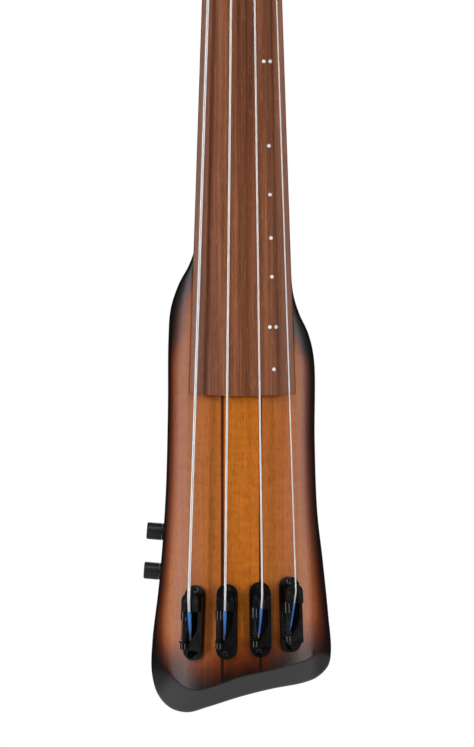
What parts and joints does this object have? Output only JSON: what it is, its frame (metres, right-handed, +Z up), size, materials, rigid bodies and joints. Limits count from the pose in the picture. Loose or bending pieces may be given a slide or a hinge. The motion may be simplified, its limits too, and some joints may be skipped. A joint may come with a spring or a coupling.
{
  "type": "electric upright bass",
  "caption": "Slim laminated upright bass for playing on a stand, with a fretless board, single-string bridge units, side knobs and geared tuners.",
  "frame": {"origin": "centre of the stand plate's outer face, on the centre line of the back", "axes": "+Z up along the neck, -Y out of the strings' side, +Y out of the back, +X towards the highest string"},
  "size_m": [0.1533, 0.0706, 1.1051],
  "materials": {
    "neck_wood": "satin amber oil finish, shaded to black at the edges",
    "stripe_wood": "satin oil finish",
    "wing_wood": "satin amber oil finish, shaded to black at the edges",
    "fingerboard_wood": "open-pored matte",
    "black_metal": "satin black",
    "black_plastic": "fine-textured black",
    "string_steel": "ground flat wound",
    "steel": "nickel plated",
    "brass": "plain",
    "circuit_board": "green solder mask",
    "silk": "tightly wound blue silk thread",
    "inlay": "polished pearl white"
  },
  "bodies": {
    "instrument": {"truss_rod_cover": "black_plastic", "tuner_plate_e": "black_metal", "tuner_plate_a": "black_metal", "tuner_plate_d": "black_metal", "tuner_plate_g": "black_metal", "bridge_base_e": "black_metal", "intonation_spring_e": "black_metal", "pickup_e": "brass", "bridge_base_a": "black_metal", "intonation_spring_a": "black_metal", "pickup_a": "brass", "bridge_base_d": "black_metal", "intonation_spring_d": "black_metal", "pickup_d": "brass", "bridge_base_g": "black_metal", "intonation_spring_g": "black_metal", "pickup_g": "brass", "body_wing_bass": "wing_wood", "neck_side_bass": "neck_wood", "neck_stripe_bass": "stripe_wood", "neck_center": "neck_wood", "neck_stripe_treble": "stripe_wood", "neck_side_treble": "neck_wood", "body_wing_treble": "wing_wood", "fingerboard": "fingerboard_wood", "nut": "black_plastic", "truss_rod": "steel", "string_e": "string_steel", "string_a": "string_steel", "string_d": "string_steel", "string_g": "string_steel", "volume_pot": "steel", "tone_pot": "steel", "control_cover": "black_plastic", "output_jack": "steel", "preamp_board": "circuit_board", "battery_box": "black_plastic", "battery": "steel", "stand_plate": "black_metal"},
    "saddle_e": {"saddle_e": "black_metal"},
    "intonation_screw_e": {"intonation_screw_e": "black_metal"},
    "saddle_a": {"saddle_a": "black_metal"},
    "intonation_screw_a": {"intonation_screw_a": "black_metal"},
    "saddle_d": {"saddle_d": "black_metal"},
    "intonation_screw_d": {"intonation_screw_d": "black_metal"},
    "saddle_g": {"saddle_g": "black_metal"},
    "intonation_screw_g": {"intonation_screw_g": "black_metal"},
    "tuner_button_e": {"tuner_button_e": "black_metal"},
    "tuner_post_e": {"tuner_post_e": "black_metal"},
    "tuner_button_a": {"tuner_button_a": "black_metal"},
    "tuner_post_a": {"tuner_post_a": "black_metal"},
    "tuner_button_d": {"tuner_button_d": "black_metal"},
    "tuner_post_d": {"tuner_post_d": "black_metal"},
    "tuner_button_g": {"tuner_button_g": "black_metal"},
    "tuner_post_g": {"tuner_post_g": "black_metal"},
    "volume_control": {"volume_knob": "black_metal", "volume_shaft": "steel"},
    "tone_control": {"tone_knob": "black_metal", "tone_shaft": "steel"},
    "battery_lid": {"battery_lid": "black_plastic"}
  },
  "joints": [
    {"name": "intonation_screw_e_turn", "type": "hinge", "parent": "instrument", "child": "intonation_screw_e", "pos_m": [-0.04774, -0.04969, -0.20579], "axis": [-0.0321, 0.0117, -0.9994], "range_deg": [0, 3106]},
    {"name": "saddle_e_slide", "type": "slide", "parent": "instrument", "child": "saddle_e", "axis": [0.0321, -0.0117, 0.9994], "range_m": [0, 0.006], "deforming": ["intonation_spring_e"]},
    {"name": "intonation_screw_a_turn", "type": "hinge", "parent": "instrument", "child": "intonation_screw_a", "pos_m": [-0.019, -0.05795, -0.20504], "axis": [-0.0098, 0.0011, -1], "range_deg": [0, 3106]},
    {"name": "saddle_a_slide", "type": "slide", "parent": "instrument", "child": "saddle_a", "axis": [0.0098, -0.0011, 1], "range_m": [0, 0.006], "deforming": ["intonation_spring_a"]},
    {"name": "intonation_screw_d_turn", "type": "hinge", "parent": "instrument", "child": "intonation_screw_d", "pos_m": [0.01051, -0.05895, -0.20337], "axis": [0.0127, 0.0017, -0.9999], "range_deg": [0, 3106]},
    {"name": "saddle_d_slide", "type": "slide", "parent": "instrument", "child": "saddle_d", "axis": [-0.0127, -0.0017, 0.9999], "range_m": [0, 0.006], "deforming": ["intonation_spring_d"]},
    {"name": "intonation_screw_g_turn", "type": "hinge", "parent": "instrument", "child": "intonation_screw_g", "pos_m": [0.03757, -0.0534, -0.19927], "axis": [0.0325, 0.0119, -0.9994], "range_deg": [0, 3106]},
    {"name": "saddle_g_slide", "type": "slide", "parent": "instrument", "child": "saddle_g", "axis": [-0.0325, -0.0119, 0.9994], "range_m": [0, 0.006], "deforming": ["intonation_spring_g"]},
    {"name": "tuner_button_e_turn", "type": "hinge", "parent": "instrument", "child": "tuner_button_e", "pos_m": [-0.025, -0.009, 0.75591], "axis": [1, 0, 0], "continuous": true},
    {"name": "tuner_post_e_turn", "type": "hinge", "parent": "instrument", "child": "tuner_post_e", "pos_m": [-0.025, -0.03201, 0.74636], "axis": [0, 0.9848, -0.1736], "continuous": true},
    {"name": "tuner_button_a_turn", "type": "hinge", "parent": "instrument", "child": "tuner_button_a", "pos_m": [-0.025, -0.00032, 0.80515], "axis": [1, 0, 0], "continuous": true},
    {"name": "tuner_post_a_turn", "type": "hinge", "parent": "instrument", "child": "tuner_post_a", "pos_m": [-0.025, -0.02332, 0.7956], "axis": [0, 0.9848, -0.1736], "continuous": true},
    {"name": "tuner_button_d_turn", "type": "hinge", "parent": "instrument", "child": "tuner_button_d", "pos_m": [0.025, -0.00032, 0.80515], "axis": [1, 0, 0], "continuous": true},
    {"name": "tuner_post_d_turn", "type": "hinge", "parent": "instrument", "child": "tuner_post_d", "pos_m": [0.025, -0.02332, 0.7956], "axis": [0, 0.9848, -0.1736], "continuous": true},
    {"name": "tuner_button_g_turn", "type": "hinge", "parent": "instrument", "child": "tuner_button_g", "pos_m": [0.025, -0.009, 0.75591], "axis": [1, 0, 0], "continuous": true},
    {"name": "tuner_post_g_turn", "type": "hinge", "parent": "instrument", "child": "tuner_post_g", "pos_m": [0.025, -0.03201, 0.74636], "axis": [0, 0.9848, -0.1736], "continuous": true},
    {"name": "volume_knob_turn", "type": "hinge", "parent": "instrument", "child": "volume_control", "pos_m": [-0.0649, -0.0163, -0.1159], "axis": [-0.9971, 0, 0.0767], "range_deg": [-150, 150]},
    {"name": "tone_knob_turn", "type": "hinge", "parent": "instrument", "child": "tone_control", "pos_m": [-0.0673, -0.0163, -0.1482], "axis": [-0.9971, 0, 0.0767], "range_deg": [-150, 150]},
    {"name": "battery_lid_hinge", "type": "hinge", "parent": "instrument", "child": "battery_lid", "pos_m": [0.029, -0.0043, -0.103], "axis": [1, 0, 0], "range_deg": [0, 100]}
  ],
  "couplings": [
    {"joint": "intonation_screw_e_turn", "follows": "saddle_e_slide", "rad_per_m": 8976},
    {"joint": "intonation_screw_a_turn", "follows": "saddle_a_slide", "rad_per_m": 8976},
    {"joint": "intonation_screw_d_turn", "follows": "saddle_d_slide", "rad_per_m": 8976},
    {"joint": "intonation_screw_g_turn", "follows": "saddle_g_slide", "rad_per_m": 8976},
    {"joint": "tuner_post_e_turn", "follows": "tuner_button_e_turn", "ratio": 0.05},
    {"joint": "tuner_post_a_turn", "follows": "tuner_button_a_turn", "ratio": 0.05},
    {"joint": "tuner_post_d_turn", "follows": "tuner_button_d_turn", "ratio": 0.05},
    {"joint": "tuner_post_g_turn", "follows": "tuner_button_g_turn", "ratio": 0.05}
  ]
}
